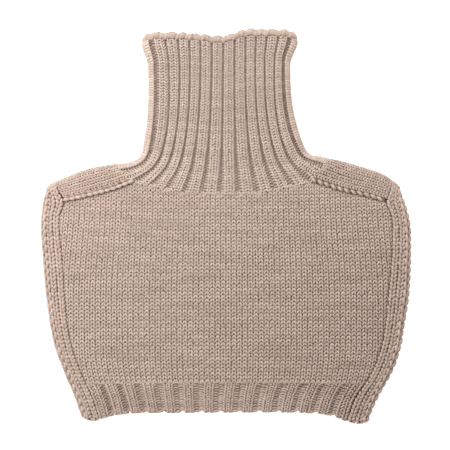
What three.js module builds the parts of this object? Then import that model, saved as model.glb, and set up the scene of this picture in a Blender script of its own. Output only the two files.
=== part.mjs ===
// Knitted turtleneck dickey, lying flat on its back layer
// Millimetres, X across the garment, Y from the hem to the mouth of the collar, Z up, resting on Z = 0
// The origin is under the middle of the garment's outline
import * as THREE from "three";

// Driving dimensions
const WALL = 3.6; // thickness of the knitted fabric
const SEAM_GAP = 0.5; // each piece ends this far before its seam
const STRAP_END_GAP = 1.1; // the same where a strap meets the side band, which turn in different directions
const STRAP_NECK_GAP = 1.1; // and where it meets the collar
const LAYER_GAP = 0.6; // clearance between front and back layer along the open sides
const LOFT_HEM = 7; // how much higher the front layer stands at the middle of the hem
const LOFT_NECK = 10; // and at the neckline and in the collar
const LOFT_FADE = 2.2; // how late the loft falls off towards the sides
const LOFT_FROM_Y = -185; // the loft grows from here
const LOFT_TO_Y = 40; // to here
const HEM_TOP_Y = -156; // where the ribbed hem meets the stocking-stitch panels
const FOLD_RUN = 16; // how far from a fold the fabric has reached its full height, at most
const FOLD_RADIUS = 4; // outer radius of a fold at its turn, at least
const BACK_SEAM_DROP = 14; // distance of the shoulder strap's back seam below the fold
const RIB_DEPTH = 0.8; // how deep the valleys between two ribs are
const HEM_RIBS = 14; // ribs across each hem
const FIRST_RIB = -0.5; // the collar's left fold, counted in ribs from its first front valley
const LAST_RIB = 12.5; // the collar's right fold
const STRAP_FRONT_RIBS = { left: 1, right: 11 }; // where the straps' front seams meet the neckline
const STRAP_BACK_RIBS = { left: 0.7, right: 11.3 }; // and their back seams
const COLLAR_END = 0.994; // share of a rib's run at which the collar ends, just before the neckline
const PANEL_TOP_GAP = 0.7; // gap between a panel's top edge and its seam
const PANEL_TOP_HOLD = 4; // how late the panel's columns reach their places along the top edge, as a power
const HEM_SEAM_X = { left: -127, right: 121 }; // where the side bands' seams meet the bottom edge
const BAND_TURN = 0.07; // share of a side band's length that turns over the shoulder
const BAND_TIP_HOLD = 20; // how late the band's columns run into its tip, as a power
const EDGE_HEIGHT = 5; // height of the bound-off edge round the collar's mouth
const EDGE_GAP = 1.1; // gap between that edge and the ribs
const EDGE_THICK = 4.4; // thickness of that edge
const RUN_HANDLE = 0.34; // how softly a rib bends above its turn, as a share of its run
const TURN_HANDLE = 0.45; // and below it
const FLARE = { left: 6, right: 8 }; // how far the collar's mouth spreads at both corners
const FLARE_FROM = 4; // the spread is full down to this depth below the mouth
const FLARE_TO = 30; // and gone at this depth

// Outline of the body: the outer selvedge and the seam of the side band, left and right
const BODY_ROWS = [
  { y: -192, left: -144, seamLeft: -127, seamRight: 122, right: 143 },
  { y: -171, left: -151, seamLeft: -134, seamRight: 130, right: 152 },
  { y: -147, left: -161, seamLeft: -145, seamRight: 146, right: 165 },
  { y: -123, left: -170, seamLeft: -154, seamRight: 155, right: 174 },
  { y: -99, left: -175.5, seamLeft: -159, seamRight: 160, right: 178 },
  { y: -67, left: -180, seamLeft: -162, seamRight: 163, right: 183 },
  { y: -35, left: -183, seamLeft: -164, seamRight: 166, right: 184.6 },
  { y: -5, left: -185, seamLeft: -167, seamRight: 167, right: 184.8 },
  { y: 26, left: -184, seamLeft: -165.5, seamRight: 164.5, right: 179.5 },
  { y: 48, left: -173, seamLeft: -167, seamRight: 163, right: 167 },
];

// Bottom edge of the hem
const HEM_EDGE = [
  { x: -144, y: -190 },
  { x: -136, y: -194 },
  { x: -127, y: -193 },
  { x: -111, y: -189 },
  { x: -90, y: -186.5 },
  { x: -54, y: -186 },
  { x: 0, y: -185.5 },
  { x: 50, y: -185.5 },
  { x: 90, y: -187 },
  { x: 107, y: -190.5 },
  { x: 121, y: -195 },
  { x: 134, y: -197 },
  { x: 142, y: -194.5 },
];

// Fold of the left and right shoulder
const SHOULDER_FOLDS = [
  { x: -180, y: 36 },
  { x: -173, y: 44 },
  { x: -160, y: 50.5 },
  { x: -140, y: 58 },
  { x: -109, y: 63.3 },
  { x: 103, y: 68.8 },
  { x: 116, y: 66.2 },
  { x: 144, y: 58 },
  { x: 163, y: 50 },
  { x: 174, y: 38 },
];

// Front seams of the shoulder straps, from the side band to the neckline and out again
const LEFT_SEAM = [
  { x: -166, y: 25 },
  { x: -150, y: 27.7 },
  { x: -126, y: 33 },
  { x: -109, y: 37.7 },
  { x: -91.5, y: 45 },
];
const RIGHT_SEAM = [
  { x: 83, y: 46 },
  { x: 99.7, y: 40.6 },
  { x: 113.8, y: 36 },
  { x: 138.6, y: 30.6 },
  { x: 165, y: 23.5 },
];

// Run of the collar's front and back ribs: place at the mouth, place where they begin to turn towards
// the shoulders, and how far they lean there, in degrees from straight down
const RIB_RUNS = [
  { rib: -0.5, topX: -77.5, topY: 190, midX: -82.5, midY: 79, midLean: -14 },
  { rib: 0, topX: -71.3, topY: 193, midX: -75.5, midY: 79, midLean: -12 },
  { rib: 1, topX: -58.1, topY: 194, midX: -62.5, midY: 79, midLean: -14 },
  { rib: 2, topX: -46.6, topY: 193.5, midX: -52.5, midY: 79, midLean: -12 },
  { rib: 4, topX: -25.4, topY: 192, midX: -30.5, midY: 79, midLean: -8 },
  { rib: 6, topX: -2.8, topY: 190, midX: -4, midY: 79, midLean: -1 },
  { rib: 8, topX: 19.4, topY: 196.5, midX: 23, midY: 79, midLean: 6 },
  { rib: 10, topX: 38.9, topY: 196.7, midX: 47.3, midY: 79, midLean: 16 },
  { rib: 11, topX: 48.9, topY: 196.7, midX: 58.3, midY: 79, midLean: 20 },
  { rib: 12, topX: 58.5, topY: 195, midX: 72.5, midY: 78, midLean: 27 },
  { rib: 12.5, topX: 63, topY: 192, midX: 78.5, midY: 79, midLean: 28 },
];

// Where the ribs end on the front and the back neckline, and how far they lean there
const NECKLINE = [
  { rib: -0.5, frontX: -109, frontY: 63.3, backX: -109, backY: 63.3, lean: -86 },
  { rib: 0, frontX: -105, frontY: 57, backX: -105, backY: 57, lean: -80 },
  { rib: 1, frontX: -91.5, frontY: 45, backX: -92, backY: 51.5, lean: -58 },
  { rib: 2, frontX: -76, frontY: 40.5, backX: -76.5, backY: 49, lean: -45 },
  { rib: 4, frontX: -41.5, frontY: 35, backX: -42, backY: 46.5, lean: -20 },
  { rib: 6, frontX: -5.7, frontY: 32.5, backX: -6, backY: 45.5, lean: -3 },
  { rib: 8, frontX: 31, frontY: 34, backX: 31, backY: 46.5, lean: 9 },
  { rib: 10, frontX: 67, frontY: 40.5, backX: 67, backY: 50.5, lean: 30 },
  { rib: 11, frontX: 83, frontY: 46, backX: 83, backY: 54.5, lean: 42 },
  { rib: 12, frontX: 98, frontY: 62, backX: 98, backY: 62, lean: 66 },
  { rib: 12.5, frontX: 103, frontY: 68.8, backX: 103, backY: 68.8, lean: 72 },
];

// Fineness of the meshes
const COLLAR_ROWS = 12;
const EDGE_SIDES = 6;
const PANEL_ROWS = 13;
const SEAM_STEPS = 6;
const STRAP_STEPS = 9;
const STRAP_TURN_STEPS = 6;
const BAND_STEPS = 12;
const BAND_TURN_STEPS = 4;
const BAND_COLUMNS = 3;
const NECKLINE_STEPS = 14;
const HEM_ROWS = 4;

const { clamp, lerp, smoothstep, degToRad } = THREE.MathUtils;

// A smooth function through one column of a table, held at its end values past both ends
function along(rows, key, column) {
  const last = rows.length - 1;
  const slopes = rows.map((_, i) => {
    const before = rows[Math.max(i - 1, 0)];
    const after = rows[Math.min(i + 1, last)];
    return (after[column] - before[column]) / (after[key] - before[key]);
  });
  return (where) => {
    const at = clamp(where, rows[0][key], rows[last][key]);
    let i = 0;
    while (i < last - 1 && at > rows[i + 1][key]) i += 1;
    const step = rows[i + 1][key] - rows[i][key];
    const s = (at - rows[i][key]) / step;
    const start = rows[i][column] * (1 + 2 * s) * (1 - s) ** 2;
    const end = rows[i + 1][column] * (3 - 2 * s) * s ** 2;
    return start + end + step * (slopes[i] * s * (1 - s) ** 2 + slopes[i + 1] * (s - 1) * s ** 2);
  };
}

const outerLeft = along(BODY_ROWS, "y", "left");
const outerRight = along(BODY_ROWS, "y", "right");
const seamLeft = along(BODY_ROWS, "y", "seamLeft");
const seamRight = along(BODY_ROWS, "y", "seamRight");
const hemEdge = along(HEM_EDGE, "x", "y");
const foldY = along(SHOULDER_FOLDS, "x", "y");
const leftSeamY = along(LEFT_SEAM, "x", "y");
const rightSeamY = along(RIGHT_SEAM, "x", "y");
const ribTop = { x: along(RIB_RUNS, "rib", "topX"), y: along(RIB_RUNS, "rib", "topY") };
const ribMid = { x: along(RIB_RUNS, "rib", "midX"), y: along(RIB_RUNS, "rib", "midY") };
const midLean = along(RIB_RUNS, "rib", "midLean");
const endLean = along(NECKLINE, "rib", "lean");
const necklines = {
  front: { x: along(NECKLINE, "rib", "frontX"), y: along(NECKLINE, "rib", "frontY") },
  back: { x: along(NECKLINE, "rib", "backX"), y: along(NECKLINE, "rib", "backY") },
};

// Where a line y = height(x) meets the seam of a side band
function bandMeets(side, height) {
  const seam = side === "left" ? seamLeft : seamRight;
  const first = seam(height(seam(LOFT_TO_Y)));
  return seam(height(first));
}

function neckline(layer, rib) {
  return new THREE.Vector2(necklines[layer].x(rib), necklines[layer].y(rib));
}

// Evenly spaced numbers, both ends included
function spaced(from, to, steps) {
  return Array.from({ length: steps + 1 }, (_, i) => lerp(from, to, i / steps));
}

// Height of the front layer's face above the surface that the garment lies on
function fullHeight(x, y) {
  const side = x < 0 ? outerLeft(y) : outerRight(y);
  const across = Math.min(Math.abs(x / side), 1);
  const loft = lerp(LOFT_HEM, LOFT_NECK, smoothstep(y, LOFT_FROM_Y, LOFT_TO_Y));
  return 2 * WALL + LAYER_GAP + loft * (1 - across ** LOFT_FADE);
}

// A point on the outer face of a layer, at a distance from the fold where both layers meet
function onFace(layer, x, y, fromFold = FOLD_RUN) {
  const half = fullHeight(x, y) / 2;
  const run = Math.min(FOLD_RUN, half ** 2 / FOLD_RADIUS);
  const share = Math.sqrt(1 - (1 - Math.min(fromFold / run, 1)) ** 2);
  return new THREE.Vector3(x, y, layer === "front" ? half * (1 + share) : half * (1 - share));
}

// Across the outer face at each point of a grid, from the points around it
function faceNormals(grid, ring) {
  return grid.map((row, j) =>
    row.map((_, i) => {
      const count = row.length;
      const before = ring ? row[(i + count - 1) % count] : row[Math.max(i - 1, 0)];
      const after = ring ? row[(i + 1) % count] : row[Math.min(i + 1, count - 1)];
      const below = grid[Math.max(j - 1, 0)][i];
      const above = grid[Math.min(j + 1, grid.length - 1)][i];
      return after.clone().sub(before).cross(above.clone().sub(below)).normalize();
    }),
  );
}

// Moves points of a grid inwards by depth(i, j)
function pressed(grid, ring, depth) {
  const normals = faceNormals(grid, ring);
  return grid.map((row, j) =>
    row.map((point, i) => point.clone().addScaledVector(normals[j][i], -depth(i, j))),
  );
}

function meshGeometry(points, faces) {
  const geometry = new THREE.BufferGeometry();
  const places = points.flatMap((point) => [point.x, point.y, point.z]);
  geometry.setAttribute("position", new THREE.Float32BufferAttribute(places, 3));
  geometry.setIndex(faces);
  geometry.computeVertexNormals();
  return geometry;
}

// A closed wall of fabric behind a grid of points on its outer face; ring joins the ends of each row
function fabric(grid, ring = false) {
  const rows = grid.length;
  const columns = grid[0].length;
  const inner = pressed(grid, ring, () => WALL);
  const points = [...grid.flat(), ...inner.flat()];
  const faces = [];
  const outerAt = (i, j) => j * columns + (i % columns);
  const innerAt = (i, j) => rows * columns + outerAt(i, j);
  const quad = (a, b, c, d) => faces.push(a, b, c, a, c, d);
  const spans = ring ? columns : columns - 1;
  for (let j = 0; j < rows - 1; j += 1) {
    for (let i = 0; i < spans; i += 1) {
      quad(outerAt(i, j), outerAt(i + 1, j), outerAt(i + 1, j + 1), outerAt(i, j + 1));
      quad(innerAt(i + 1, j), innerAt(i, j), innerAt(i, j + 1), innerAt(i + 1, j + 1));
    }
  }
  for (let i = 0; i < spans; i += 1) {
    quad(outerAt(i + 1, 0), outerAt(i, 0), innerAt(i, 0), innerAt(i + 1, 0));
    quad(outerAt(i, rows - 1), outerAt(i + 1, rows - 1), innerAt(i + 1, rows - 1), innerAt(i, rows - 1));
  }
  for (let j = 0; j < rows - 1 && !ring; j += 1) {
    const end = columns - 1;
    quad(outerAt(0, j), outerAt(0, j + 1), innerAt(0, j + 1), innerAt(0, j));
    quad(outerAt(end, j + 1), outerAt(end, j), innerAt(end, j), innerAt(end, j + 1));
  }
  return meshGeometry(points, faces);
}

// A place moved along a direction, given in degrees from straight down
function moved(place, degrees, distance) {
  const angle = degToRad(degrees);
  return new THREE.Vector2(place.x + distance * Math.sin(angle), place.y - distance * Math.cos(angle));
}

// A rib of the collar, as a smooth run from the mouth down to the neckline of its layer
function ribPath(layer, rib) {
  const top = new THREE.Vector2(ribTop.x(rib), ribTop.y(rib));
  const mid = new THREE.Vector2(ribMid.x(rib), ribMid.y(rib));
  const end = neckline(layer, rib);
  const run = top.distanceTo(mid) * RUN_HANDLE;
  const turn = mid.distanceTo(end) * TURN_HANDLE;
  const path = new THREE.CurvePath();
  path.add(new THREE.CubicBezierCurve(top, moved(top, 0, run), moved(mid, midLean(rib), -run), mid));
  path.add(
    new THREE.CubicBezierCurve(mid, moved(mid, midLean(rib), turn), moved(end, endLean(rib), -turn), end),
  );
  const side = (2 * (rib - FIRST_RIB)) / (LAST_RIB - FIRST_RIB) - 1;
  const spread = side ** 3 * (side < 0 ? FLARE.left : FLARE.right);
  return (share) => {
    const point = path.getPoint(share).clone();
    point.x += spread * (1 - smoothstep(top.y - point.y, FLARE_FROM, FLARE_TO));
    return point;
  };
}

// One course round the collar: the front ribs from left to right, then the back ribs from right to left
function collarCourse(share) {
  const ribs = spaced(FIRST_RIB, LAST_RIB, 2 * (LAST_RIB - FIRST_RIB));
  const course = (layer) => {
    const spots = ribs.map((rib) => ribPath(layer, rib)(share));
    return spots.map((spot) => {
      const away = Math.min(spot.distanceTo(spots[0]), spot.distanceTo(spots[spots.length - 1]));
      return onFace(layer, spot.x, spot.y, away);
    });
  };
  return [...course("front"), ...course("back").slice(1, -1).reverse()];
}

// A depth below the collar's mouth, as a share of the middle rib's run
function depthShare(depth) {
  const middle = (FIRST_RIB + LAST_RIB) / 2;
  return depth / (ribTop.y(middle) - neckline("front", middle).y);
}

// Even points of a course are rib crests and odd points are valleys
function makeCollar() {
  const shares = spaced(COLLAR_END, depthShare(EDGE_HEIGHT + EDGE_GAP), COLLAR_ROWS);
  const grid = shares.map(collarCourse);
  return fabric(pressed(grid, true, (i) => (i % 2) * RIB_DEPTH), true);
}

// The bound-off edge: a rounded bead round the mouth of the collar
function makeCollarEdge() {
  const rows = [EDGE_HEIGHT, EDGE_HEIGHT / 2, 0].map((depth) => collarCourse(depthShare(depth)));
  const normals = faceNormals(rows, true)[1];
  const count = normals.length;
  const points = [];
  const faces = [];
  rows[1].forEach((point, i) => {
    const half = rows[2][i].clone().sub(rows[0][i]).multiplyScalar(0.5);
    const middle = point.clone().addScaledVector(normals[i], -WALL / 2);
    for (let k = 0; k < EDGE_SIDES; k += 1) {
      const angle = (2 * Math.PI * k) / EDGE_SIDES;
      const spot = middle.clone().addScaledVector(half, Math.cos(angle));
      spot.addScaledVector(normals[i], (EDGE_THICK / 2) * Math.sin(angle));
      spot.z = Math.max(spot.z, 0);
      points.push(spot);
    }
  });
  const at = (i, k) => (i % count) * EDGE_SIDES + (k % EDGE_SIDES);
  for (let i = 0; i < count; i += 1) {
    for (let k = 0; k < EDGE_SIDES; k += 1) {
      faces.push(at(i, k), at(i, k + 1), at(i + 1, k), at(i + 1, k), at(i, k + 1), at(i + 1, k + 1));
    }
  }
  return meshGeometry(points, faces);
}

// Top edge of a panel, from side band to side band
function panelTop(layer) {
  const ribsAt = layer === "front" ? STRAP_FRONT_RIBS : STRAP_BACK_RIBS;
  const left = neckline(layer, ribsAt.left);
  const right = neckline(layer, ribsAt.right);
  const seamY = (x) => {
    if (layer === "back") return foldY(x) - BACK_SEAM_DROP;
    return x < 0 ? leftSeamY(x) : rightSeamY(x);
  };
  const seam = (from, to) => spaced(from, to, SEAM_STEPS).map((x) => new THREE.Vector2(x, seamY(x)));
  const ribs = spaced(ribsAt.left, ribsAt.right, NECKLINE_STEPS);
  const leftSeam = seam(bandMeets("left", seamY) + SEAM_GAP, left.x).slice(0, -1);
  const rightSeam = seam(right.x, bandMeets("right", seamY) - SEAM_GAP).slice(1);
  return [...leftSeam, ...ribs.map((rib) => neckline(layer, rib)), ...rightSeam];
}

// The stocking-stitch panel of a layer, between the side bands, above the hem
function makePanel(layer) {
  const top = panelTop(layer);
  const width = top[top.length - 1].x - top[0].x;
  const grid = spaced(0, 1, PANEL_ROWS).map((up) =>
    top.map((spot) => {
      const y = lerp(HEM_TOP_Y + SEAM_GAP, spot.y - PANEL_TOP_GAP, up);
      const across = (spot.x - top[0].x) / width;
      const x = lerp(seamLeft(y) + SEAM_GAP, seamRight(y) - SEAM_GAP, across);
      return onFace(layer, lerp(x, spot.x, up ** PANEL_TOP_HOLD), y);
    }),
  );
  return fabric(layer === "front" ? grid : grid.map((row) => row.reverse()));
}

// The ribbed hem of a layer
function makeHem(layer) {
  const grid = spaced(0, 1, HEM_ROWS).map((up) =>
    spaced(0, 1, 2 * HEM_RIBS).map((across) => {
      const bottomY = hemEdge(lerp(HEM_SEAM_X.left, HEM_SEAM_X.right, across));
      const y = lerp(bottomY, HEM_TOP_Y, up);
      const x = lerp(seamLeft(y) + SEAM_GAP, seamRight(y) - SEAM_GAP, across);
      return onFace(layer, x, y);
    }),
  );
  const facing = layer === "front" ? grid : grid.map((row) => row.reverse());
  return fabric(pressed(facing, false, (i) => (i % 2) * RIB_DEPTH));
}

// A point inside four joined border curves, for i and k from 0 to 1
function patch(low, high, start, end) {
  return (i, k) => {
    const across = low(i).multiplyScalar(1 - k).addScaledVector(high(i), k);
    const up = start(k).multiplyScalar(1 - i).addScaledVector(end(k), i);
    const flat = low(0).multiplyScalar((1 - i) * (1 - k)).addScaledVector(low(1), i * (1 - k));
    flat.addScaledVector(high(0), (1 - i) * k).addScaledVector(high(1), i * k);
    return across.add(up).sub(flat);
  };
}

// One layer of a shoulder strap, from its seam (k = 0) to the fold (k = 1), from left to right
function strapLayer(layer, side) {
  const ribsAt = (layer === "front" ? STRAP_FRONT_RIBS : STRAP_BACK_RIBS)[side];
  const foldRib = side === "left" ? FIRST_RIB : LAST_RIB;
  const outward = side === "left" ? -1 : 1;
  const neckSide = (k) => {
    const spot = neckline(layer, lerp(ribsAt, foldRib, k));
    return new THREE.Vector2(spot.x + outward * STRAP_NECK_GAP, spot.y);
  };
  const seamOf = side === "left" ? leftSeamY : rightSeamY;
  const seamY = (x) => (layer === "front" ? seamOf(x) : foldY(x) - BACK_SEAM_DROP);
  const outerFoldX = bandMeets(side, foldY) - outward * STRAP_END_GAP;
  const outerSeamX = bandMeets(side, seamY) - outward * STRAP_END_GAP;
  const bandSide = (k) => {
    const low = new THREE.Vector2(outerSeamX, seamY(outerSeamX));
    return low.lerp(new THREE.Vector2(outerFoldX, foldY(outerFoldX)), k);
  };
  const start = side === "left" ? bandSide : neckSide;
  const end = side === "left" ? neckSide : bandSide;
  const line = (k, height) => (i) => {
    const low = start(k);
    const high = end(k);
    const x = lerp(low.x, high.x, i);
    const lift = lerp(low.y - height(low.x), high.y - height(high.x), i);
    return new THREE.Vector2(x, height(x) + lift);
  };
  return patch(line(0, seamY), line(1, foldY), start, end);
}

// A shoulder strap: it covers the shoulder in front, passes over the fold and ends on the back
function makeStrap(side) {
  const turn = spaced(0, 1, STRAP_TURN_STEPS).map((step) => Math.sin((step * Math.PI) / 2));
  const row = (layer, k) => {
    const place = strapLayer(layer, side);
    return spaced(0, 1, STRAP_STEPS).map((i) => {
      const spot = place(i, k);
      return onFace(layer, spot.x, spot.y, spot.distanceTo(place(i, 1)));
    });
  };
  const front = turn.map((k) => row("front", k));
  const back = turn.slice(0, -1).reverse().map((k) => row("back", k));
  return fabric([...front, ...back]);
}

// A side band: up the front's open side, over the end of the shoulder and down the back's side
function makeBand(side) {
  const outer = side === "left" ? outerLeft : outerRight;
  const seam = side === "left" ? seamLeft : seamRight;
  const corner = side === "left" ? HEM_EDGE[0] : HEM_EDGE[HEM_EDGE.length - 1];
  const tip = side === "left" ? SHOULDER_FOLDS[0] : SHOULDER_FOLDS[SHOULDER_FOLDS.length - 1];
  const gap = side === "left" ? -SEAM_GAP : SEAM_GAP;
  const straight = spaced(0, 1 - BAND_TURN, BAND_STEPS);
  const turn = spaced(0, 1, BAND_TURN_STEPS).map((step) => {
    return lerp(1 - BAND_TURN, 1, Math.sin((step * Math.PI) / 2));
  });
  const ups = [...straight.slice(0, -1), ...turn];
  const inward = side === "left" ? spaced(0, 1, BAND_COLUMNS) : spaced(1, 0, BAND_COLUMNS);
  const row = (layer, up) =>
    inward.map((share) => {
      const bottomY = hemEdge(lerp(corner.x, HEM_SEAM_X[side], share));
      const foldX = lerp(tip.x, seam(LOFT_TO_Y), share);
      const y = lerp(bottomY, foldY(foldX), up);
      const bodyX = lerp(outer(y), seam(y) + gap, share);
      const tipX = lerp(tip.x, foldX + gap, share);
      const x = lerp(bodyX, tipX, up ** BAND_TIP_HOLD);
      return onFace(layer, x, y, foldY(foldX) - y);
    });
  const front = ups.map((up) => row("front", up));
  const back = ups.slice(0, -1).reverse().map((up) => row("back", up));
  return fabric([...front, ...back]);
}

// Colours of the pieces
function wool(color) {
  return new THREE.MeshStandardMaterial({ color, roughness: 0.95, metalness: 0 });
}
const PANEL_WOOL = wool(0xb39d8f);
const RIB_WOOL = wool(0xb8a395);
const EDGE_WOOL = wool(0xc6b3a6);

const pieces = [
  ["collar", makeCollar(), RIB_WOOL],
  ["collar_edge", makeCollarEdge(), EDGE_WOOL],
  ["front_panel", makePanel("front"), PANEL_WOOL],
  ["back_panel", makePanel("back"), PANEL_WOOL],
  ["hem_front", makeHem("front"), RIB_WOOL],
  ["hem_back", makeHem("back"), RIB_WOOL],
  ["shoulder_strap_left", makeStrap("left"), EDGE_WOOL],
  ["shoulder_strap_right", makeStrap("right"), EDGE_WOOL],
  ["side_band_left", makeBand("left"), EDGE_WOOL],
  ["side_band_right", makeBand("right"), EDGE_WOOL],
];

const dickey = new THREE.Group();
for (const [name, geometry, material] of pieces) {
  const mesh = new THREE.Mesh(geometry, material);
  mesh.name = name;
  dickey.add(mesh);
}

export default dickey;
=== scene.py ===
"""Knitted turtleneck dickey, laid flat, with its floor, lights and camera.

The garment is knitted stitch by stitch: strands of yarn are laid on smooth cloths, which follow the
frame's shape. Tables and constants are in millimetres, and meshes are made in metres.
"""

import bpy
import numpy as np
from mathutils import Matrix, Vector


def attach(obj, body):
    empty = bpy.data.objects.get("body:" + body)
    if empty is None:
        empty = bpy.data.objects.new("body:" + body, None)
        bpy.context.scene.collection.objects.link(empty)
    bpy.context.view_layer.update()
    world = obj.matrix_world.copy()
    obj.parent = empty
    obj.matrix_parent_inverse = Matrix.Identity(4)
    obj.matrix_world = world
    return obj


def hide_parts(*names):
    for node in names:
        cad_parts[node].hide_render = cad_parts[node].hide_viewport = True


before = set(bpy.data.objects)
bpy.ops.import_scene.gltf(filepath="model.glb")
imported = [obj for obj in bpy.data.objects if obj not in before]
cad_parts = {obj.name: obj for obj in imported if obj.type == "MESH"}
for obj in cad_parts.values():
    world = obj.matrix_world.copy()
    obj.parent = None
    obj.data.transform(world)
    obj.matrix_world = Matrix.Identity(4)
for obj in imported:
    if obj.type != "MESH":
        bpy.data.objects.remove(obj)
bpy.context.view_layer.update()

MM = 0.001
rng = np.random.default_rng(7)

# A smooth change is given as its first and last value, and the two places between which it happens.
# A bump is given as its place, width and height. Lines are those of a cloth's grid.

# Shape of the garment, as in the frame
WALL = 3.6
LAYER_GAP = 0.6
SHOULDER_Y = 40
HEM_TOP_Y = -156
LOFT = (7, 10, -185, SHOULDER_Y)
LOFT_FADE = 2.2
BACK_REST = 0.6
FOLD_RUN = 16
FOLD_RADIUS = 4
BACK_SEAM_DROP = 14
FIRST_RIB = -0.5
LAST_RIB = 12.5
STRAP_RIBS = {"front": (1, 11), "back": (0.7, 11.3)}
HEM_SEAM_X = {"left": -127, "right": 121}
BAND_TURN = 0.07
BAND_TIP_HOLD = 20
RUN_HANDLE = 0.34
TURN_HANDLE = 0.45
FLARE = (6, 8)
FLARE_OVER = (4, 30)


def table(columns, rows):
    """A table as named columns."""
    return dict(zip(columns.split(), np.array(rows, dtype=float).T))


BODY = table("y left seam_left seam_right right", [
    (-192, -144, -127, 122, 143),
    (-171, -151, -134, 130, 152),
    (-147, -161, -145, 146, 165),
    (-123, -170, -154, 155, 174),
    (-99, -175.5, -159, 160, 178),
    (-67, -180, -162, 163, 183),
    (-35, -183, -164, 166, 184.6),
    (-5, -185, -167, 167, 184.8),
    (12, -185, -166.5, 166, 182.8),
    (26, -184, -161, 160, 179.5),
    (37, -179.5, -168, 165, 174),
    (48, -173, -174, 169, 167),
])
HEM_EDGE = table("x y", [
    (-144, -190), (-136, -194), (-127, -193), (-111, -189), (-90, -186.5), (-54, -186), (0, -185.5),
    (50, -185.5), (90, -187), (107, -190.5), (121, -195), (134, -197), (142, -194.5),
])
SHOULDER_FOLDS = table("x y", [
    (-180, 36), (-173, 44), (-160, 50.5), (-140, 58), (-109, 63.3),
    (103, 68.8), (116, 66.2), (144, 58), (163, 50), (174, 38),
])
LEFT_SEAM = table("x y", [(-166, 25), (-150, 27.7), (-126, 33), (-109, 37.7), (-91.5, 45)])
RIGHT_SEAM = table("x y", [(83, 46), (99.7, 40.6), (113.8, 36), (138.6, 30.6), (165, 23.5)])
RIB_RUNS = table("rib top_x top_y mid_x mid_y mid_lean", [
    (-0.5, -77.5, 190, -82.5, 79, -14),
    (0, -71.3, 193, -75.5, 79, -12),
    (1, -58.1, 194, -62.5, 79, -14),
    (2, -46.6, 193.5, -52.5, 79, -12),
    (4, -25.4, 192, -30.5, 79, -8),
    (6, -2.8, 190, -4, 79, -1),
    (8, 19.4, 196.5, 23, 79, 6),
    (10, 38.9, 196.7, 47.3, 79, 16),
    (11, 48.9, 196.7, 58.3, 79, 20),
    (12, 58.5, 195, 72.5, 78, 27),
    (12.5, 63, 192, 78.5, 79, 28),
])
NECKLINE = table("rib front_x front_y back_x back_y lean", [
    (-0.5, -109, 63.3, -109, 63.3, -86),
    (0, -105, 57, -105, 57, -80),
    (1, -91.5, 45, -92, 51.5, -58),
    (2, -76, 40.5, -76.5, 49, -45),
    (4, -41.5, 35, -42, 46.5, -20),
    (6, -5.7, 32.5, -6, 45.5, -3),
    (8, 31, 34, 31, 46.5, 9),
    (10, 67, 40.5, 67, 50.5, 30),
    (11, 83, 46, 83, 54.5, 42),
    (12, 98, 62, 98, 62, 66),
    (12.5, 103, 68.8, 103, 68.8, 72),
])


def along(rows, column):
    """A column of a table as a smooth function of its first, held at its end values past both ends."""
    at, value = next(iter(rows.values())), rows[column]
    last = len(at) - 1
    before = np.maximum(np.arange(last + 1) - 1, 0)
    after = np.minimum(np.arange(last + 1) + 1, last)
    slope = (value[after] - value[before]) / (at[after] - at[before])

    def smooth(where):
        where = np.clip(where, at[0], at[-1])
        i = np.clip(np.searchsorted(at, where, side="right") - 1, 0, last - 1)
        step = at[i + 1] - at[i]
        s = (where - at[i]) / step
        start = value[i] * (1 + 2 * s) * (1 - s) ** 2
        end = value[i + 1] * (3 - 2 * s) * s**2
        return start + end + step * (slope[i] * s * (1 - s) ** 2 + slope[i + 1] * (s - 1) * s**2)

    return smooth


outer_left = along(BODY, "left")
outer_right = along(BODY, "right")
seam_left = along(BODY, "seam_left")
seam_right = along(BODY, "seam_right")
hem_edge = along(HEM_EDGE, "y")
fold_y = along(SHOULDER_FOLDS, "y")
left_seam_y = along(LEFT_SEAM, "y")
right_seam_y = along(RIGHT_SEAM, "y")
end_lean = along(NECKLINE, "lean")


def lerp(a, b, share):
    return a + (b - a) * share


def smoothstep(x, low, high):
    s = np.clip((x - low) / (high - low), 0, 1)
    return s * s * (3 - 2 * s)


def change(x, first, last, low, high):
    """A value that goes smoothly from first to last while x goes from low to high."""
    return lerp(first, last, smoothstep(x, low, high))


def bump(x, at, width, height=1):
    return height * np.exp(-(((x - at) / width) ** 2))


def unit(vectors):
    return vectors / np.maximum(np.linalg.norm(vectors, axis=-1, keepdims=True), 1e-9)


def pair(x, y):
    return np.stack(np.broadcast_arrays(x, y), axis=-1).astype(float)


def full_height(x, y):
    """Height of the front layer's face above the floor."""
    side = np.where(x < 0, outer_left(y), outer_right(y))
    across = np.minimum(np.abs(x / side), 1)
    return 2 * WALL + LAYER_GAP + change(y, *LOFT) * (1 - across**LOFT_FADE)


def on_face(layer, spot, from_fold=np.inf):
    """Points on the outer face of a layer, at a distance from the fold where both layers meet."""
    half = full_height(spot[..., 0], spot[..., 1]) / 2
    run = np.minimum(FOLD_RUN, half**2 / FOLD_RADIUS)
    share = np.sqrt(1 - (1 - np.clip(from_fold / run, 0, 1)) ** 2)
    z = half * (1 + share) if layer == "front" else BACK_REST + (half - BACK_REST) * (1 - share)
    return np.concatenate([spot, z[..., None]], axis=-1)


def rib_spots(rows, name, ribs):
    """Places of ribs, from two columns of a table."""
    return pair(along(rows, name + "_x")(ribs), along(rows, name + "_y")(ribs))


def neckline(layer, ribs):
    return rib_spots(NECKLINE, layer, ribs)


def strap_seam(layer, x):
    """Height of the seam between a panel and the shoulder straps."""
    if layer == "back":
        return fold_y(x) - BACK_SEAM_DROP
    return np.where(x < 0, left_seam_y(x), right_seam_y(x))


def rib_side(ribs):
    """Where ribs lie between the collar's two folds, from -1 to 1."""
    return 2 * (ribs - FIRST_RIB) / (LAST_RIB - FIRST_RIB) - 1


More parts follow.
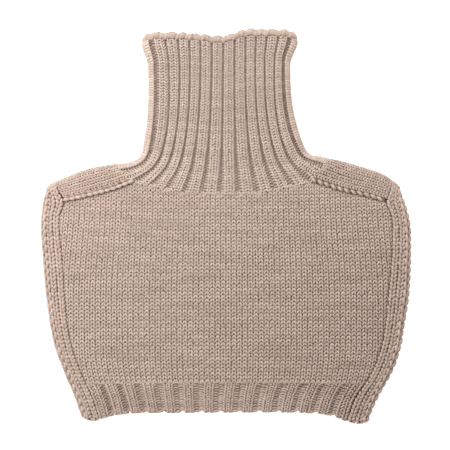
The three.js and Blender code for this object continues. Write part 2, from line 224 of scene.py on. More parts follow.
def moved(place, degrees, distance):
    """Places moved along directions given in degrees from straight down."""
    angle = np.radians(degrees)
    return place + pair(np.sin(angle), -np.cos(angle)) * np.reshape(distance, (-1, 1))


def bezier(a, b, c, d):
    t = np.linspace(0, 1, 25)[:, None, None]
    return a * (1 - t) ** 3 + 3 * b * t * (1 - t) ** 2 + 3 * c * t**2 * (1 - t) + d * t**3


def at_shares(points, shares, by_line=None):
    """Points at shares of the lines down a grid, or across from shares of one line, and the mean length."""
    length = np.cumsum(np.linalg.norm(np.diff(points, axis=0, prepend=points[:1]), axis=2), axis=0)
    if by_line is not None:
        length = np.repeat(length[:, [by_line]], points.shape[1], axis=1)
    placed = np.empty((len(shares), *points.shape[1:]))
    for k, axis in np.ndindex(points.shape[1:]):
        placed[:, k, axis] = np.interp(shares * length[-1, k], length[:, k], points[:, k, axis])
    return placed, length[-1].mean()


def rib_runs(layer, ribs, shares):
    """Places at shares of the runs of ribs, from the collar's mouth to its neckline."""
    top = rib_spots(RIB_RUNS, "top", ribs)
    mid = rib_spots(RIB_RUNS, "mid", ribs)
    lean = along(RIB_RUNS, "mid_lean")(ribs)
    end = neckline(layer, ribs)
    run = np.linalg.norm(mid - top, axis=1) * RUN_HANDLE
    turn = np.linalg.norm(end - mid, axis=1) * TURN_HANDLE
    upper = bezier(top, moved(top, 0 * ribs, run), moved(mid, lean, -run), mid)
    lower = bezier(mid, moved(mid, lean, turn), moved(end, end_lean(ribs), -turn), end)
    spots = at_shares(np.concatenate([upper, lower[1:]]), shares)[0]
    side = rib_side(ribs)
    spread = side**3 * np.where(side < 0, *FLARE)
    spots[..., 0] += spread * (1 - smoothstep(top[:, 1] - spots[..., 1], *FLARE_OVER))
    return spots


class Cloth:
    """The smooth outer face of a piece, as a grid of points over columns and rows of stitches.

    columns and rows hold the stitch numbers of the grid's first and last lines. On a ring the last column
    is the one where the grid closes.
    """

    def __init__(self, points, columns, rows, ring=False):
        self.points, self.columns, self.rows, self.ring = points, columns, rows, ring
        if ring:
            across = np.roll(points, -1, axis=1) - np.roll(points, 1, axis=1)
        else:
            across = np.gradient(points, axis=1)
        self.normals = unit(np.cross(across, np.gradient(points, axis=0)))

    def look(self, column, row):
        """Points and outward normals at columns and rows of stitches."""
        high, wide = self.points.shape[:2]
        spans = wide if self.ring else wide - 1
        i = (column - self.columns[0]) / (self.columns[1] - self.columns[0]) * spans
        j = (row - self.rows[0]) / (self.rows[1] - self.rows[0]) * (high - 1)
        left = np.floor(i).astype(int)
        low = np.clip(np.floor(j).astype(int), 0, high - 2)
        if not self.ring:
            left = np.clip(left, 0, wide - 2)
        i, j = (i - left)[..., None], (j - low)[..., None]
        left, right = left % wide, (left + 1) % wide

        def between(grid):
            below = lerp(grid[low, left], grid[low, right], i)
            return lerp(below, lerp(grid[low + 1, left], grid[low + 1, right], i), j)

        return between(self.points), unit(between(self.normals))

    def pressed(self, depth):
        """The same cloth with its face moved inwards."""
        points = self.points - self.normals * depth[..., None]
        return Cloth(points, self.columns, self.rows, self.ring)

    def grid_places(self):
        """The column and the row of each point of the grid."""
        high, wide = self.points.shape[:2]
        columns = np.linspace(*self.columns, wide, endpoint=not self.ring)
        return np.meshgrid(columns, np.linspace(*self.rows, high))


# Yarn: its cross-section is a little flat, and its colour has painted shade along its sides and where it is
# tucked under.
# A strand shows the half of its round that faces out, unless it is closed.
YARN_FLATNESS = 0.8
HALF_ROUND = np.linspace(0, np.pi, 4)
ROUND = np.linspace(0, 2 * np.pi, 6, endpoint=False)
TWIST_PER_RING = 0.9
TUCKED_BELOW = -1.2
TUCKED_SHADE = 0.40
SIDE_SHADE = 0.16
MEAN_TONE = 0.8
STITCH_TONE = 0.03
DRIFT_TONE = 0.055
DRIFT_WAVES = ((0.23, 1.0), (0.61, 0.6))
DRIFT_LINES = 400

# How uneven the strands are: their places in stitches, their thickness, and their height in millimetres
SHIFT = 0.028
SWELL = 0.05
LIFT = 0.09

# Loose fibres
FIBRE_LENGTH = 1.9
FIBRE_EVENNESS = 4
FIBRE_HALF_WIDTHS = (0.045, 0.035, 0.01)
FIBRE_ROOT = 0.9
FIBRE_LOWEST = 0.15
FIBRE_LEAN = 0.75
FIBRE_CURL = 0.6
FIBRE_TONES = (0.6, 1.0)


class Yarn:
    """Strands of yarn that become one mesh, and the places where fibres may stand on them."""

    def __init__(self):
        self.points, self.quads, self.tones, self.twists = [], [], [], []
        self.roots = []
        self.count = 0
        self.phases = rng.uniform(0, 2 * np.pi, (len(DRIFT_WAVES), DRIFT_LINES))

    def lay(self, cloth, column, row, shape, wide=1.0, side=1.0, tall=1.0, closed=False, shade=0.0,
            loose=1.0, stout=1.0):
        """Lays strands of one shape at places of a cloth.

        wide is a column's width in the cloth's columns, side mirrors a strand, loose says how uneven the
        strands are, and stout how thick each is.
        """
        by_strand = np.broadcast_arrays(*np.atleast_1d(column, row, wide, stout, shade))
        column, row, wide, stout, shade = (a.ravel() for a in by_strand)
        n = len(column)
        across, up, height, radius = shape.T
        shift = rng.normal(0, SHIFT * loose, (n, 2, 1))
        swell = 1 + rng.normal(0, SWELL * loose, (n, 1, 1))
        lift = rng.normal(0, LIFT * loose, (n, 1))
        c = column[:, None] + (across * side + shift[:, 0]) * wide[:, None]
        r = row[:, None] + (up + shift[:, 1]) * tall
        face, normal = cloth.look(c, r)
        centre = face + normal * (height + lift)[..., None]
        tangent = unit(np.gradient(centre, axis=1))
        sideways = unit(np.cross(tangent, normal))
        outward = np.cross(sideways, tangent)
        angles = ROUND if closed else HALF_ROUND
        size = radius[:, None] * swell * stout[:, None, None]
        rings = centre[:, :, None] + size[..., None] * (
            sideways[:, :, None] * np.cos(angles)[:, None]
            + outward[:, :, None] * (YARN_FLATNESS * np.sin(angles))[:, None]
        )
        tone = (self.tone_of(column, row) + shade)[:, None]
        # Painted shade: darker where a strand dips under the face, and along both its sides.
        tone = tone + TUCKED_SHADE * np.minimum(height - TUCKED_BELOW, 0)
        self.add_tubes(rings, closed, tone[..., None] - SIDE_SHADE * (1 - np.clip(np.sin(angles), 0, 1)))
        middle = slice(1, len(shape) - 1)
        self.roots.append([a[:, middle].reshape(-1, 3) for a in (centre, sideways * size, outward * size)])

    def tone_of(self, column, row):
        """Shade of the yarn, which drifts along the rows and differs a little between stitches."""
        line = np.round(row).astype(int) % DRIFT_LINES
        drift = 0
        for (pace, share), phase in zip(DRIFT_WAVES, self.phases):
            drift = drift + share * np.sin(column * pace + phase[line])
        return MEAN_TONE + DRIFT_TONE * drift + rng.normal(0, STITCH_TONE, len(column))

    def add_tubes(self, rings, closed, tone):
        """Adds tubes, given as points and tones by strand, ring and side."""
        n, long, sides = rings.shape[:3]
        ids = self.count + np.arange(n * long * sides).reshape(n, long, sides)
        if closed:
            ids = np.concatenate([ids, ids[:, :, :1]], axis=2)
        quads = [ids[:, :-1, :-1], ids[:, 1:, :-1], ids[:, 1:, 1:], ids[:, :-1, 1:]]
        self.quads.append(np.stack(quads, axis=-1).reshape(-1, 4))
        self.points.append(rings.reshape(-1, 3))
        self.count += n * long * sides
        self.tones.append(tone.ravel())
        twist = np.arange(long)[:, None] * TWIST_PER_RING + np.arange(sides) / sides
        self.twists.append(np.broadcast_to(twist, (n, long, sides)).ravel())

    def mesh(self, name, material):
        points = np.concatenate(self.points)
        attributes = {"tone": np.concatenate(self.tones), "twist": np.concatenate(self.twists)}
        return make_mesh(name, points, np.concatenate(self.quads), material, attributes)

    def fuzz(self, name, count, material):
        """Loose fibres on the strands: thin ribbons that bend away from the yarn."""
        centre, sideways, outward = (np.concatenate(parts) for parts in zip(*self.roots))
        pick = rng.integers(0, len(centre), count)
        angle = rng.uniform(FIBRE_LOWEST, np.pi - FIBRE_LOWEST, (count, 1))
        out = sideways[pick] * np.cos(angle) + outward[pick] * YARN_FLATNESS * np.sin(angle)
        root = centre[pick] + out * FIBRE_ROOT
        lean = unit(unit(out) + rng.normal(0, FIBRE_LEAN, (count, 3)))
        curl = unit(lean + rng.normal(0, FIBRE_CURL, (count, 3)))
        long = rng.gamma(FIBRE_EVENNESS, FIBRE_LENGTH / FIBRE_EVENNESS, (count, 1))
        middle = root + lean * long / 2
        tip = middle + curl * long / 2
        flat = unit(np.cross(lean, rng.normal(0, 1, (count, 3))))
        line = np.stack([root, middle, tip], axis=1)
        half = np.array(FIBRE_HALF_WIDTHS)[:, None] * flat[:, None]
        points = np.stack([line - half, line + half], axis=2).reshape(-1, 3)
        ids = np.arange(count)[:, None] * 6 + np.array([0, 1, 3, 2])
        quads = np.concatenate([ids, ids + 2])
        tone = np.repeat(rng.uniform(*FIBRE_TONES, count), 6)
        return make_mesh(name, points, quads, material, {"tone": tone, "twist": 0 * tone})


def put(name, data):
    """A new object in the scene."""
    thing = bpy.data.objects.new(name, data)
    bpy.context.scene.collection.objects.link(thing)
    return thing


def make_mesh(name, points, quads, material, attributes):
    """A mesh in the scene, with nothing below the floor."""
    points[:, 2] = np.maximum(points[:, 2], 0)
    mesh = bpy.data.meshes.new(name)
    mesh.vertices.add(len(points))
    mesh.vertices.foreach_set("co", (points * MM).astype(np.float32).ravel())
    mesh.loops.add(quads.size)
    mesh.loops.foreach_set("vertex_index", quads.astype(np.int32).ravel())
    mesh.polygons.add(len(quads))
    mesh.polygons.foreach_set("loop_start", np.arange(0, quads.size, 4, dtype=np.int32))
    mesh.update(calc_edges=True)
    for key, values in attributes.items():
        mesh.attributes.new(key, "FLOAT", "POINT").data.foreach_set("value", values.astype(np.float32))
    mesh.shade_smooth()
    mesh.materials.append(material)
    return put(name, mesh)


INSIDE_TONE = 0.7


def ground(name, cloth, depth=2.1, thick=1.2, coarse=(1, 1), outside=0.5, stitches=1):
    """A closed thin cloth under the strands: the grid of a cloth, moved inwards, walled round its border.

    coarse says how many lines of the grid, down and across, make one of the ground's, and outside how
    light that face is: darker than the inside, as painted shade in the gaps between the strands. The inside
    has the purl side's rows, with some stitches to a column of the cloth.
    """
    high, wide = cloth.points.shape[:2]
    down = np.linspace(0, high - 1, round((high - 1) / coarse[0]) + 1).round().astype(int)
    if cloth.ring:
        across = np.arange(0, wide, coarse[1])
    else:
        across = np.linspace(0, wide - 1, round((wide - 1) / coarse[1]) + 1).round().astype(int)
    face, normals = cloth.points[down][:, across], cloth.normals[down][:, across]
    high, wide = face.shape[:2]
    outer = face - normals * depth
    inner = face - normals * (depth + thick)
    points = np.concatenate([outer.reshape(-1, 3), inner.reshape(-1, 3)])
    ids = np.arange(high * wide).reshape(high, wide)
    if cloth.ring:
        ids = np.concatenate([ids, ids[:, :1]], axis=1)
    under = ids + high * wide

    def quads(a, b, c, d):
        return np.stack([a, b, c, d], axis=-1).reshape(-1, 4)

    parts = [
        quads(ids[:-1, :-1], ids[:-1, 1:], ids[1:, 1:], ids[1:, :-1]),
        quads(under[:-1, 1:], under[:-1, :-1], under[1:, :-1], under[1:, 1:]),
        quads(ids[0, 1:], ids[0, :-1], under[0, :-1], under[0, 1:]),
        quads(ids[-1, :-1], ids[-1, 1:], under[-1, 1:], under[-1, :-1]),
    ]
    if not cloth.ring:
        parts.append(quads(ids[:-1, 0], ids[1:, 0], under[1:, 0], under[:-1, 0]))
        parts.append(quads(ids[1:, -1], ids[:-1, -1], under[:-1, -1], under[1:, -1]))
    column, row = (np.tile(grid[down][:, across].ravel(), 2) for grid in cloth.grid_places())
    tone = np.repeat([outside, INSIDE_TONE], high * wide)
    attributes = {"tone": tone, "twist": row / 2, "across": column * stitches}
    return make_mesh(name, points, np.concatenate(parts), WOOL["ground"], attributes)


# Shapes of strands, ring by ring: across in columns, up in rows, height over the face, and radius
LEG = np.array([
    (0.07, -0.22, -2.3, 0.75),
    (0.13, 0.12, -1.00, 1.10),
    (0.26, 0.50, -0.52, 1.24),
    (0.39, 0.90, -1.02, 1.07),
    (0.42, 1.17, -2.4, 0.70),
])
CAST_ON = np.array([
    (0.12, 0.08, -0.9, 0.85),
    (0.15, 0.28, -0.6, 1.10),
    (0.26, 0.55, -0.52, 1.24),
    *LEG[3:],
])
RIB_LEG = np.array([
    (0.05, -0.24, -2.0, 0.82),
    (0.12, 0.08, -0.75, 1.25),
    (0.23, 0.38, -0.30, 1.46),
    (0.41, 0.67, -0.72, 1.06),
    (0.49, 0.83, -1.95, 0.70),
])
HEAD = np.array([
    (-0.46, -0.16, -1.9, 0.70),
    (-0.28, 0.14, -1.15, 0.88),
    (0.0, 0.26, -0.95, 0.92),
    (0.28, 0.14, -1.15, 0.88),
    (0.46, -0.16, -1.9, 0.70),
])
SELVEDGE = np.array([
    (0.04, -0.16, -2.2, 1.0),
    (0.12, 0.10, -0.9, 1.5),
    (0.25, 0.40, 0.0, 1.85),
    (0.38, 0.72, 0.0, 1.8),
    (0.44, 1.00, -1.1, 1.35),
    (0.40, 1.18, -2.4, 0.9),
])
PUFF = np.array([
    (-0.22, -0.5, -1.3, 1.4),
    (-0.16, 0.5, -0.9, 1.9),
    (-0.08, 1.6, -0.6, 2.15),
    (0.0, 2.7, -0.5, 2.2),
    (0.08, 3.8, -0.6, 2.15),
    (0.16, 4.8, -1.0, 1.9),
    (0.22, 5.6, -1.8, 1.4),
])
ROLL = np.array([
    (-0.40, -1.06, -1.7, 1.15),
    (-0.14, -0.60, -0.7, 1.75),
    (0.04, 0.0, -0.1, 2.1),
    (-0.04, 0.60, -0.6, 1.8),
    (-0.36, 1.06, -1.6, 1.2),
])
LINK = np.array([
    (0.42, -0.85, -1.9, 1.0),
    (0.24, -0.42, -0.9, 1.55),
    (0.0, 0.05, -0.5, 1.8),
    (-0.26, 0.52, -0.9, 1.55),
    (-0.44, 0.95, -1.9, 1.0),
])
LEG_MIDDLE = 0.25

# Factors for shapes that stay nearer to the face
SHALLOW = (1, 1, 0.45, 1)
LESS_DEEP = (1, 1, 0.9, 1)


def knit(yarn, cloth, column, row, leg=LEG, spread=1.0, **how):
    """Knit stitches: two legs each. spread is how far the legs lean apart."""
    shape = leg.copy()
    shape[:, 0] = lerp(LEG_MIDDLE, leg[:, 0], spread)
    for side in (1, -1):
        yarn.lay(cloth, column, row, shape, side=side, **how)


def unevenness(x, y):
    """Slight waves of cloth that was smoothed out by hand, from 0 to 1: each is bent by a second wave."""
    waves = ((x, 13, 1.3, y, 31, 0), (y, 17, 0.9, x, 23, 2))
    return 0.5 + 0.25 * sum(
        np.sin(at / length + bend * np.sin(beside / bend_length + start))
        for at, length, bend, beside, bend_length, start in waves
    )


# Front and back panels: columns lean inwards near the hem, and rows rise at their ends
COLUMN_WIDE = (5.45, 5.2, 83, 193)
ROW_TALL = 3.7
ROW_SHRINK = 0.1 / 55
PANEL_COLUMNS = 34
PANEL_ROWS = 58
STITCH_MIDDLE = 0.4
END_X = 150
END_POWER = 2.5
HEM_DROOP = 2
ROW_RISE = (0, 5, 20, 180)
LEAN = 0.4
LEAN_X = 110
LEAN_POWER = 1.3
LEAN_FROM_Y = -118
LEAN_FULL = 72
LINES_PER_STITCH = 4
PANEL_DIVE = (2.6, 0, -1.5, 2.2)
NECK_CLEAR = 9
PANEL_WAVES = 0.6
SEAM_OVERLAP = 3
TOP_OVERLAP = (0.8, 2.0)

# The ground of a panel reaches under its neighbours
UNDER_LINES = (60, 90)
UNDER_COLUMNS = (0, 60)
UNDER_ROWS = (0, 54)
UNDER_PRESSED = 0.4
PANEL_TOP_X = (-167, 165.5)
UNDER_HEM = 3
UNDER_TOP = 1
UNDER_BAND = 2.5


def at_ends(x):
    """0 in the middle of the garment and 1 towards its sides."""
    return (np.abs(x) / END_X) ** END_POWER


def hem_top(x):
    """The line between panel and hem, which droops at its ends."""
    return HEM_TOP_Y - HEM_DROOP * at_ends(x)


def panel_spot(layer, column, row):
    """Place of a stitch of a panel in plan."""
    y = ROW_TALL * row - ROW_SHRINK * row**2
    x = column * change(y, *COLUMN_WIDE)
    y = y + hem_top(x) + change(y, *ROW_RISE) * at_ends(x)
    depth = np.clip(LEAN_FROM_Y - y, 0, None)
    x = x - np.sign(x) * LEAN * (np.abs(x) / LEAN_X) ** LEAN_POWER * depth**2 / (2 * LEAN_FULL)
    return pair(x if layer == "front" else -x, y)


def panel_top(layer, where):
    """A panel's top edge, and whether a shoulder strap lies over it, 0 or 1."""
    neck = neckline(layer, np.linspace(*STRAP_RIBS[layer], 41))
    x = np.linspace(-175, 175, 701)
    strap = (x < neck[0, 0]) | (x > neck[-1, 0])
    top = np.where(strap, strap_seam(layer, x), np.interp(x, neck[:, 0], neck[:, 1]))
    return np.interp(where, x, top), np.interp(where, x, strap)


def panel_edges(layer, spot):
    """How far places are from a panel's band seams and its top, and where a strap covers the top."""
    x, y = spot[..., 0], spot[..., 1]
    top, strap = panel_top(layer, x)
    return np.minimum(x - seam_left(y), seam_right(y) - x), top - y, strap


def panel_cloth(layer):
    """The face of a panel, which dives under the bands and the straps at its edges."""
    column, row = np.meshgrid(
        np.linspace(-PANEL_COLUMNS, PANEL_COLUMNS, LINES_PER_STITCH * 2 * PANEL_COLUMNS + 1),
        np.linspace(-1, PANEL_ROWS, LINES_PER_STITCH * (PANEL_ROWS + 1) + 1),
    )
    spot = panel_spot(layer, column, row)
    to_band, to_top, strap = panel_edges(layer, spot)
    dive = change(np.minimum(to_band, to_top + NECK_CLEAR * (1 - strap)), *PANEL_DIVE)
    cloth = Cloth(on_face(layer, spot), (-PANEL_COLUMNS, PANEL_COLUMNS), (-1, PANEL_ROWS))
    return cloth.pressed(dive + PANEL_WAVES * unevenness(spot[..., 0], spot[..., 1]))


def panel_ground(layer):
    """The outline of a panel as a grid, under its stitches."""
    up, across = np.meshgrid(*(np.linspace(0, 1, n) for n in UNDER_LINES), indexing="ij")
    top = panel_top(layer, lerp(*PANEL_TOP_X, across))[0]
    y = lerp(HEM_TOP_Y - UNDER_HEM, top + UNDER_TOP, up)
    x = lerp(seam_left(y) - UNDER_BAND, seam_right(y) + UNDER_BAND, across)
    if layer == "back":
        x, y = x[:, ::-1], y[:, ::-1]
    cloth = Cloth(on_face(layer, pair(x, y)), UNDER_COLUMNS, UNDER_ROWS)
    return cloth.pressed(np.full(x.shape, UNDER_PRESSED))


def make_panel(layer):
    cloth = panel_cloth(layer)
    column, row = np.meshgrid(np.arange(1 - PANEL_COLUMNS, PANEL_COLUMNS), np.arange(PANEL_ROWS))
    to_band, to_top, strap = panel_edges(layer, panel_spot(layer, column, row + STITCH_MIDDLE))
    kept = (to_band > -SEAM_OVERLAP) & (to_top > -lerp(*TOP_OVERLAP, strap))
    yarn = Yarn()
    knit(yarn, cloth, column[kept], row[kept], stout=0.93)
    return ground(f"{layer}_panel_cloth", panel_ground(layer), coarse=(1.5, 1.5)), {"stitches": yarn}


# Hems: places count ribs from the left, with the middle of a knit pair at each whole number.
# Three numbers are for the left end, the middle and the right end. Purl ends have a row and a painted shade.
HEM_RIBS = 14
HEM_MIDDLE = 6.5
HEM_ENDS = (2, 6)
HEM_PLACES = table("place share", [
    (-0.49, -0.01), (0.5, 0.056), (2.5, 0.187), (5.5, 0.404), (9.5, 0.707), (12.5, 0.93), (13.5, 1.01),
])
HEM_ROWS = 11
HEM_TURN_ROWS = 1.6
HEM_LINES = (20, 5)
HEM_KNIT = (0.34, 0.26, 0.33)
HEM_RADII = (1.9, 1.0)
HEM_DEPTH = (2.0, 1.1, 1.2)
# Purl valleys are darker as painted shade, most at the left end.
HEM_SHADE = (-0.18, -0.03, -0.06)
HEM_SOFT = (0.1, 0.04)
HEM_FADE_IN = (-0.8, 1.4)
HEM_FADE_OUT = (HEM_ROWS - 2, HEM_ROWS + 0.6)
HEM_NOTCH = (0.63, 0.1, 2.2)
HEM_INSET = 0.7
HEM_OVERLAP = 1.1
# The last strands on top of the knit columns are darker, as painted shade.
HEM_LAST = {"closed": True, "shade": -0.2, "loose": 2.5}
HEM_PURL_ENDS = ((-0.95, -0.1), (-0.3, -0.1), (HEM_ROWS + 0.05, 0.0))
HEM_GROUND_FROM = -0.4
HEM_GROUND_LIFT = (0.9, 0, HEM_GROUND_FROM, 2)
hem_share = along(HEM_PLACES, "share")


def by_end(place, left, middle, right):
    """A value that changes from the middle of the hem to its ends."""
    end = np.where(place < HEM_MIDDLE, left, right)
    return change(np.abs(place - HEM_MIDDLE), middle, end, *HEM_ENDS)


def hem_knit(place):
    """Width of a knit column in places."""
    return by_end(place, *HEM_KNIT)


def hem_valley(place):
    """How deep in a purl valley a place across the hem is, from 0 to 1."""
    half = 0.5 - hem_knit(place)
    inside, outside = HEM_SOFT
    return 1 - smoothstep(np.abs(place % 1 - 0.5), half - inside, half + outside)


def hem_cloth(layer):
    """Columns count places, and rows run from under the bottom edge up to the panel."""
    ends = HEM_PLACES["place"][[0, -1]]
    place, row = np.meshgrid(
        np.linspace(*ends, HEM_LINES[0] * HEM_RIBS + 1),
        np.linspace(-HEM_TURN_ROWS, HEM_ROWS + 1, HEM_LINES[1] * (HEM_ROWS + 3)),
    )
    across = hem_share(place)
    valley = hem_valley(place)
    radius = lerp(*HEM_RADII, valley)
    notch = bump(place % 1, *HEM_NOTCH) + HEM_INSET * valley
    bottom = hem_edge(lerp(*HEM_SEAM_X.values(), across)) + radius + notch
    top = hem_top(lerp(seam_left(HEM_TOP_Y), seam_right(HEM_TOP_Y), across))
    y = lerp(bottom, top, np.clip(row, 0, None) / HEM_ROWS)
    x = lerp(seam_left(y), seam_right(y), across)
    if layer == "back":
        x, y, radius = x[:, ::-1], y[:, ::-1], radius[:, ::-1]
    points = on_face(layer, pair(x, y))
    angle = np.clip(-row / HEM_TURN_ROWS, 0, 1) * np.pi
    points[..., 1] -= radius * np.sin(angle)
    inward = radius * (1 - np.cos(angle))
    points[..., 2] += -inward if layer == "front" else inward
    cloth = Cloth(points, ends, (-HEM_TURN_ROWS, HEM_ROWS + 1))
    fade = smoothstep(row, *HEM_FADE_IN) * (1 - smoothstep(row, *HEM_FADE_OUT))
    return cloth.pressed(by_end(place, *HEM_DEPTH) * valley * fade)


def hem_ground(cloth):
    """The part of a hem's cloth that its ground follows, lifted into the turned edge."""
    row = cloth.grid_places()[1]
    lifted = cloth.pressed(-change(row, *HEM_GROUND_LIFT))
    start = np.searchsorted(row[:, 0], HEM_GROUND_FROM)
    return Cloth(lifted.points[start:], cloth.columns, (HEM_GROUND_FROM, cloth.rows[1]))


def make_hem(layer):
    """Knit pairs with cast-on edges, and purl pairs in the valleys between them."""
    cloth = hem_cloth(layer)
    yarn = Yarn()
    row = np.arange(HEM_ROWS)[:, None]
    ribs = np.arange(HEM_RIBS)
    wide = hem_knit(ribs)
    for place in (ribs - wide / 2, ribs + wide / 2):
        knit(yarn, cloth, place, row, wide=wide, stout=0.86)
        knit(yarn, cloth, place, -1, wide=wide, closed=True, leg=CAST_ON)
        yarn.lay(cloth, place, HEM_ROWS, HEAD * LESS_DEEP, wide * HEM_OVERLAP, **HEM_LAST)
    valley = ribs[:-1] + wide[:-1]
    half = (ribs[1:] - wide[1:] - valley) / 2
    wide = half * HEM_OVERLAP
    for place, offset in ((valley + half / 2, 0), (valley + 1.5 * half, 0.5)):
        shade = by_end(place, *HEM_SHADE)
        yarn.lay(cloth, place, row + offset, HEAD, wide, shade=shade, stout=1.16, loose=1.8)
        for end, shade in HEM_PURL_ENDS:
            yarn.lay(cloth, place, end, HEAD * SHALLOW, wide, closed=True, shade=shade, loose=2)
    base = ground(f"hem_{layer}_cloth", hem_ground(cloth), depth=1.9, coarse=(5, 2.5), stitches=4)
    return base, {"stitches": yarn}


# Collar: places round it count ribs at half speed at both folds, and rows count up from the neckline.
# Purl columns have a thickness and a shade: painted shade, for the valleys they lie in.
COLLAR_PLACES = 28
COLLAR_ROWS = 56
COLLAR_TOP = 2.2
COLLAR_LINES = (16, 2)
EDGE_HEIGHT = 5.6
VALLEYS = np.array([k for k in range(COLLAR_PLACES) if k % 14 != 0])
WIDE_VALLEYS = (1, 13, 15, 27)
FOLD_RIBS_AFTER = (13, 27)
NARROW_VALLEY = (0.36, 0.07, -2, 24)
WIDE_VALLEY = (0.40, 0.44, 0, 24)
VALLEY_FLOOR = 0.3
VALLEY_SIDE = (0.16, 0.08, 0.1, 0.3)
VALLEY_DEPTH = (1.9, 1.3, 0.15, 0.40)
VALLEY_ROWS = (-1.5, 2.5)
RIM_DEPTH = 1.8
FOLD_BULGE = (0, 0.6, 1.8)
FOLD_BULGE_ROWS = (6, 20)
COLLAR_YARN = {2: 0.62, 4: 0.78}
COLLAR_STOUT = (1.36, 1.0, 4, 34)
# Knit ribs are darker towards the neckline, as painted shade.
COLLAR_SHADE = (-0.09, -0.03, 4, 34)
FLARE_STOUT = (0, 0.24, 44, 54)
OPEN_VALLEY_WIDTH = 0.2
VALLEY_OVERLAP = 0.05
VALLEY_STAGGER = 0.25
NARROW_PURL = (0.9, -0.26)
OPEN_PURL = (1.15, -0.27)
FOLD_PURL = (1.0, -0.38)
FOOT_PURL = (1.2, -0.24)
FOOT_ROWS = (2, 12)


def depth_share(depth):
    """A depth below the collar's mouth, as a share of the middle rib's run."""
    return depth / (along(RIB_RUNS, "top_y")(6.0) - neckline("front", 6.0)[1])


def collar_ribs(place):
    """Rib numbers, and which layer they are on, for places round the collar."""
    half = COLLAR_PLACES / 2
    turned = np.where(place < half, place, COLLAR_PLACES - place)
    knots = ([0, 1, half - 1, half], [FIRST_RIB, 0, 12, LAST_RIB])
    return np.interp(turned, *knots), place < half


def collar_course(place, shares):
    """Points on the smooth face of the collar, for places round it and shares of the ribs' runs."""
    ribs, is_front = collar_ribs(place)
    faces = {}
    for layer in ("front", "back"):
        spots = rib_runs(layer, ribs, shares)
        folds = rib_runs(layer, np.array([FIRST_RIB, LAST_RIB]), shares)
        away = np.linalg.norm(spots[:, :, None] - folds[:, None], axis=3).min(axis=2)
        faces[layer] = on_face(layer, spots, away)
    return np.where(is_front[:, None], faces["front"], faces["back"])


def valley_width(valley, row):
    """Width of a valley of the collar: most are narrow above and spread towards the base."""
    wide = np.isin(valley, WIDE_VALLEYS)
    return np.where(wide, change(row, *WIDE_VALLEY), change(row, *NARROW_VALLEY))


def collar_cloth():
    """The collar's face, with its valleys pressed in and its folds rounded out."""
    place = np.arange(COLLAR_PLACES * COLLAR_LINES[0]) / COLLAR_LINES[0]
    shares = np.linspace(1, depth_share(COLLAR_TOP), COLLAR_LINES[1] * COLLAR_ROWS + 1)
    cloth = Cloth(collar_course(place, shares), (0, COLLAR_PLACES), (0, COLLAR_ROWS), ring=True)
    place, row = cloth.grid_places()
    half = COLLAR_PLACES / 2
    away = np.abs((place[..., None] - VALLEYS + half) % COLLAR_PLACES - half)
    nearest = away.argmin(axis=-1)
    away = away.min(axis=-1)
    width = valley_width(VALLEYS[nearest], row)
    valley = 1 - smoothstep(away, width * VALLEY_FLOOR, width / 2 + change(width, *VALLEY_SIDE))
    valley *= change(width, *VALLEY_DEPTH) * smoothstep(row, *VALLEY_ROWS)
    under_rim = smoothstep(row, COLLAR_ROWS - 2, COLLAR_ROWS)
    from_fold = np.abs((place + half / 2) % half - half / 2)
    bulge = bump(from_fold, *FOLD_BULGE) * smoothstep(row, *FOLD_BULGE_ROWS)
    return cloth.pressed(lerp(valley - bulge, RIM_DEPTH, under_rim))


def knit_collar(cloth, left, row, start, end):
    """The knit columns between the valleys: two to a rib, and four round a fold."""
    yarn = Yarn()
    count = np.where(np.isin(left, FOLD_RIBS_AFTER), 4, 2)
    wide = (end - start) / count
    for columns, stout in COLLAR_YARN.items():
        kept = count == columns
        up = row[kept]
        for k in range(columns):
            middle = (start + wide * (k + 0.5))[kept]
            side = rib_side(collar_ribs(middle % COLLAR_PLACES)[0])
            flare = side**2 * change(up, *FLARE_STOUT)
            how = {"stout": stout * (change(up, *COLLAR_STOUT) + flare), "shade": change(up, *COLLAR_SHADE)}
            knit(yarn, cloth, middle, up, leg=RIB_LEG, wide=wide[kept], **how)
    return yarn


def purl_collar(cloth, left, row):
    """Two purl columns in each valley, half a stitch apart, darkened with painted shade. Valleys end in a
    darker first row.
    """
    yarn = Yarn()
    full = valley_width(left, row)
    beside_fold = np.isin(left, WIDE_VALLEYS)
    open_below = (full > OPEN_VALLEY_WIDTH) & ~beside_fold
    kinds = (
        (~(beside_fold | open_below), NARROW_PURL),
        (open_below, OPEN_PURL),
        (beside_fold, FOLD_PURL),
    )
    foot = row == 0
    foot_stout, foot_shade = FOOT_PURL
    width = full / 2 + VALLEY_OVERLAP
    for side in (-1, 1):
        at = left + side * width / 2
        stagger = VALLEY_STAGGER * side
        for kept, (stout, shade) in kinds:
            shade = change(row[kept], foot_shade, shade, *FOOT_ROWS)
            yarn.lay(cloth, at[kept], row[kept] + stagger, HEAD, width[kept], shade=shade, stout=stout)
        yarn.lay(cloth, at[foot], stagger - 1, HEAD, width[foot], shade=foot_shade, stout=foot_stout)
    return yarn


def make_collar():
    cloth = collar_cloth()
    index, row = np.meshgrid(np.arange(len(VALLEYS)), np.arange(COLLAR_ROWS))
    left, right = VALLEYS[index], VALLEYS[(index + 1) % len(VALLEYS)]
    start = left + valley_width(left, row) / 2
    end = np.where(right < left, right + COLLAR_PLACES, right) - valley_width(right, row) / 2
    yarns = {"stitches": knit_collar(cloth, left, row, start, end), "valleys": purl_collar(cloth, left, row)}
    return ground("collar_cloth", cloth, depth=1.9, coarse=(4, 2), stitches=4), yarns


# Bound-off edge: rows run from its outer foot over the top to its inner foot, and its puffs start at
# rows that are given as their mean and spread
RIM_ROWS = 6
RIM_LINES = (8, 33)
RIM_HALF_HEIGHT = 3.2
RIM_HALF_DEPTH = 2.2
RIM_TURN = (-70, 250)
RIM_LEAST = 0.85
RIM_DIP = 0.6
PUFFS = 168
PUFF_SHIFT = 0.1
PUFF_ROWS = (0.3, 0.15)


